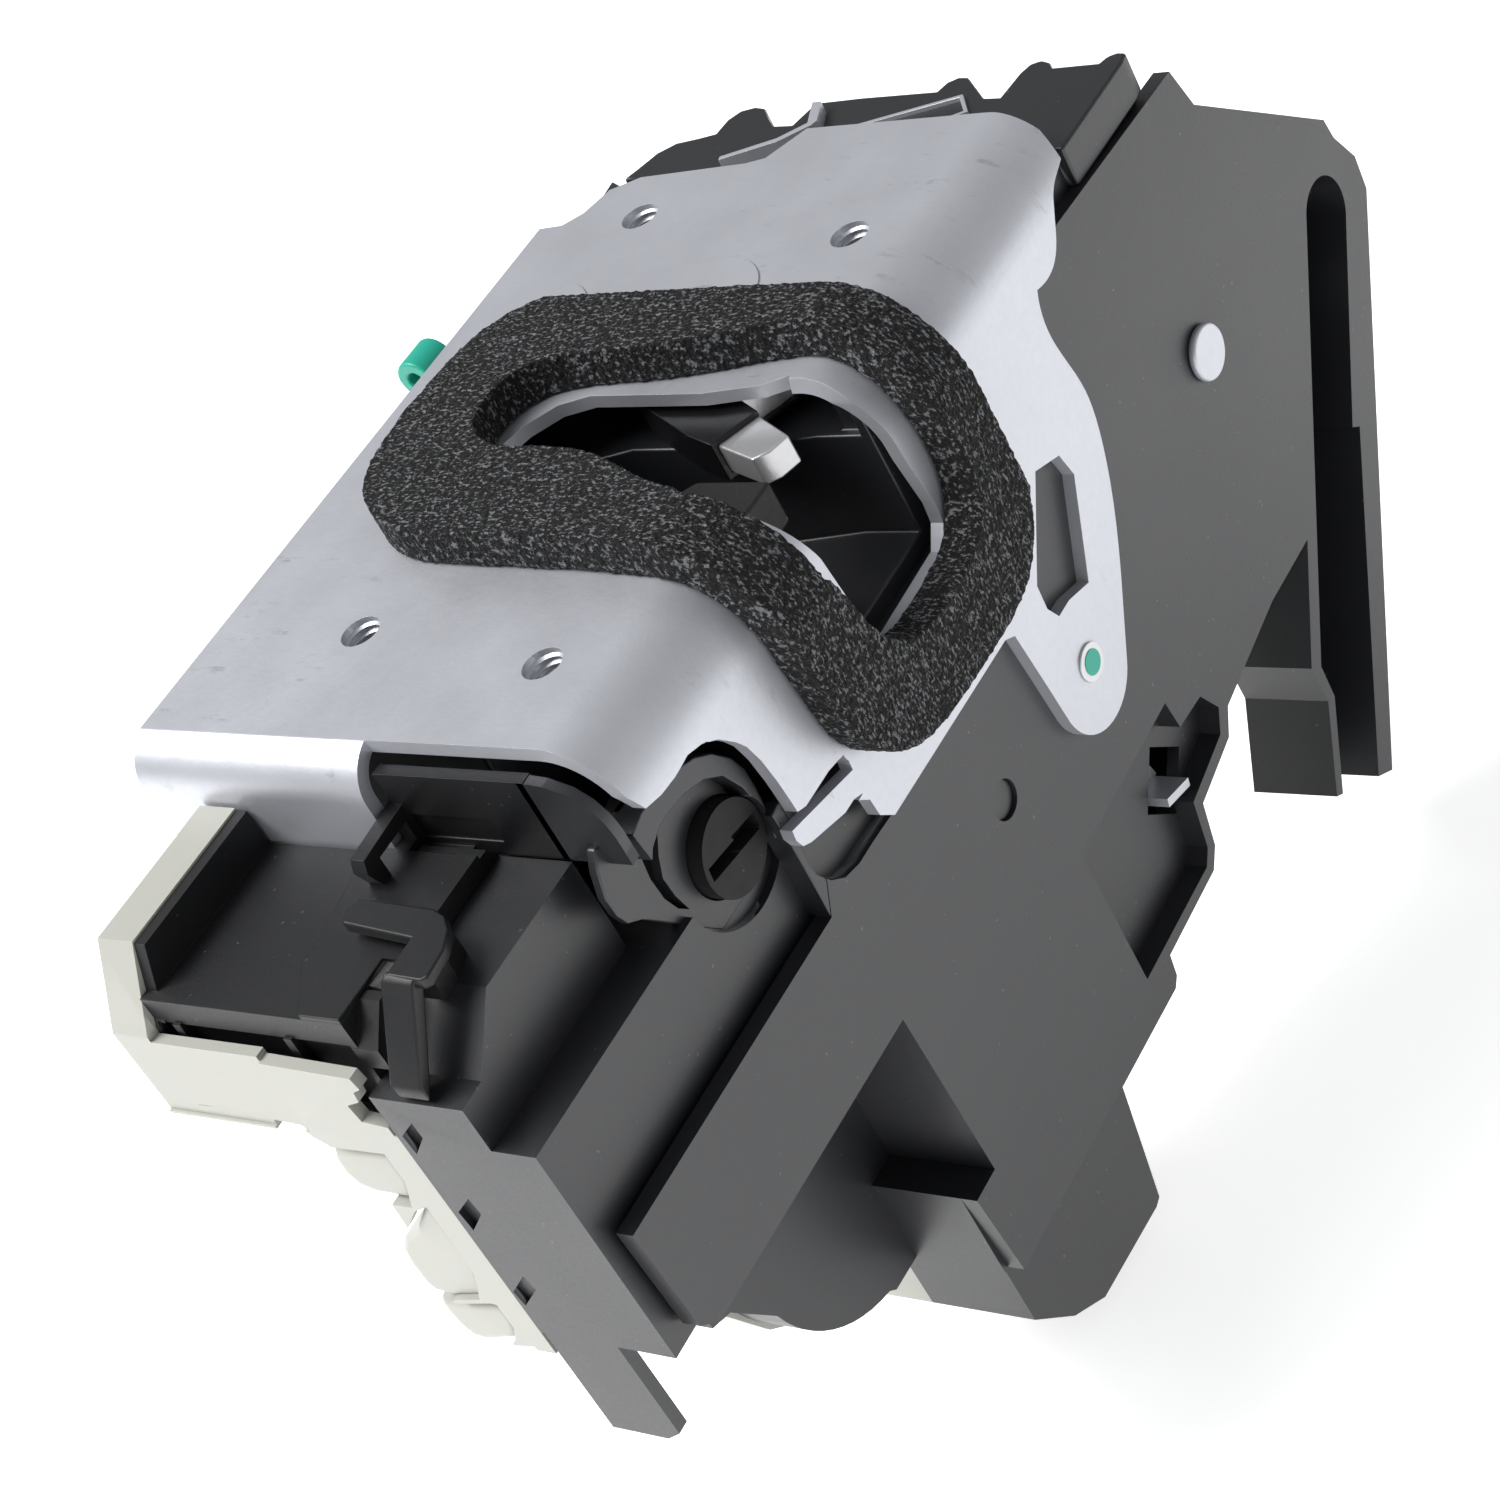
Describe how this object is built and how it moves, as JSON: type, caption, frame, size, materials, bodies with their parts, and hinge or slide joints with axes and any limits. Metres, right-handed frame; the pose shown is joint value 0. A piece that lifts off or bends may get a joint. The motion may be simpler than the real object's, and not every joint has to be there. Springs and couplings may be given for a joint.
{
  "type": "door latch actuator",
  "caption": "Vehicle door latch with a steel face plate, foam-sealed striker mouth, claw and pawl, and a motor locking actuator in a side housing.",
  "frame": {"origin": "centre of the latched striker on the mounting face", "axes": "+Z out of the mounting face, +X towards the side from which the striker enters, +Y towards the end with the inside release cable"},
  "size_m": [0.0827, 0.1998, 0.1367],
  "materials": {
    "zinc_steel": "zinc plated, satin",
    "dark_steel": "hardened steel, satin",
    "spring_steel": "wire, satin",
    "black_plastic": "black glass-filled nylon, fine grain",
    "jacket_plastic": "black moulded jacket",
    "natural_plastic": "natural white acetal, semi-gloss",
    "green_plastic": "green acetal",
    "foam": "open-cell black foam",
    "bumper_rubber": "black rubber",
    "motor_can": "nickel-plated can",
    "brass": "tinned brass"
  },
  "bodies": {
    "latch_body": {"face_plate": "zinc_steel", "foam_seal": "foam", "latch_housing": "black_plastic", "back_plate": "zinc_steel", "claw_pin": "dark_steel", "pawl_pin": "dark_steel", "claw_spring": "spring_steel", "pawl_spring": "spring_steel", "mouth_bumper": "bumper_rubber", "main_housing": "black_plastic", "rear_cover": "natural_plastic", "harness_tray": "black_plastic", "connector_shroud": "black_plastic", "connector_blades": "brass", "lever_cover": "black_plastic", "flange_rivet": "green_plastic", "lever_rivet": "zinc_steel", "lock_pin": "black_plastic", "motor": "motor_can", "gear_pin": "dark_steel", "lead_frame": "brass", "position_switches": "black_plastic", "cover_screws": "zinc_steel"},
    "claw": {"claw_core": "dark_steel", "claw_jacket": "jacket_plastic"},
    "pawl": {"pawl": "dark_steel"},
    "child_lock": {"child_lock_disc": "black_plastic"},
    "inside_lever": {"inside_release_lever": "zinc_steel"},
    "outside_lever": {"outside_release_lever": "zinc_steel", "rod_clip": "green_plastic"},
    "lock_lever": {"lock_lever": "zinc_steel"},
    "worm": {"worm": "black_plastic"},
    "worm_wheel": {"worm_wheel": "natural_plastic"}
  },
  "joints": [
    {"name": "claw_turn", "type": "hinge", "parent": "latch_body", "child": "claw", "pos_m": [-0.0045, 0.024, -0.0056], "axis": [0, 0, -1], "range_deg": [0, 50]},
    {"name": "pawl_turn", "type": "hinge", "parent": "latch_body", "child": "pawl", "pos_m": [-0.03, 0.021, -0.0056], "axis": [0, 0, -1], "range_deg": [0, 12]},
    {"name": "child_lock_turn", "type": "hinge", "parent": "latch_body", "child": "child_lock", "pos_m": [0.023, -0.0392, -0.0267], "axis": [1, 0, 0], "range_deg": [0, 90]},
    {"name": "inside_release", "type": "hinge", "parent": "latch_body", "child": "inside_lever", "pos_m": [0.0209, 0.0689, -0.0459], "axis": [1, 0, 0], "range_deg": [0, 10]},
    {"name": "outside_release", "type": "hinge", "parent": "latch_body", "child": "outside_lever", "pos_m": [-0.03, 0.021, -0.032], "axis": [0, 0, -1], "range_deg": [0, 14]},
    {"name": "lock_turn", "type": "hinge", "parent": "latch_body", "child": "lock_lever", "pos_m": [0.0209, -0.0011, -0.0575], "axis": [1, 0, 0], "range_deg": [0, 4]},
    {"name": "worm_spin", "type": "hinge", "parent": "latch_body", "child": "worm", "pos_m": [0.007, -0.0194, -0.08], "axis": [0, 0, 1], "range_deg": [0, 1800]},
    {"name": "wheel_turn", "type": "hinge", "parent": "latch_body", "child": "worm_wheel", "pos_m": [0.007, -0.039, -0.0815], "axis": [1, 0, 0], "range_deg": [0, 50]}
  ],
  "couplings": [
    {"joint": "wheel_turn", "follows": "worm_spin", "ratio": 0.027778}
  ]
}
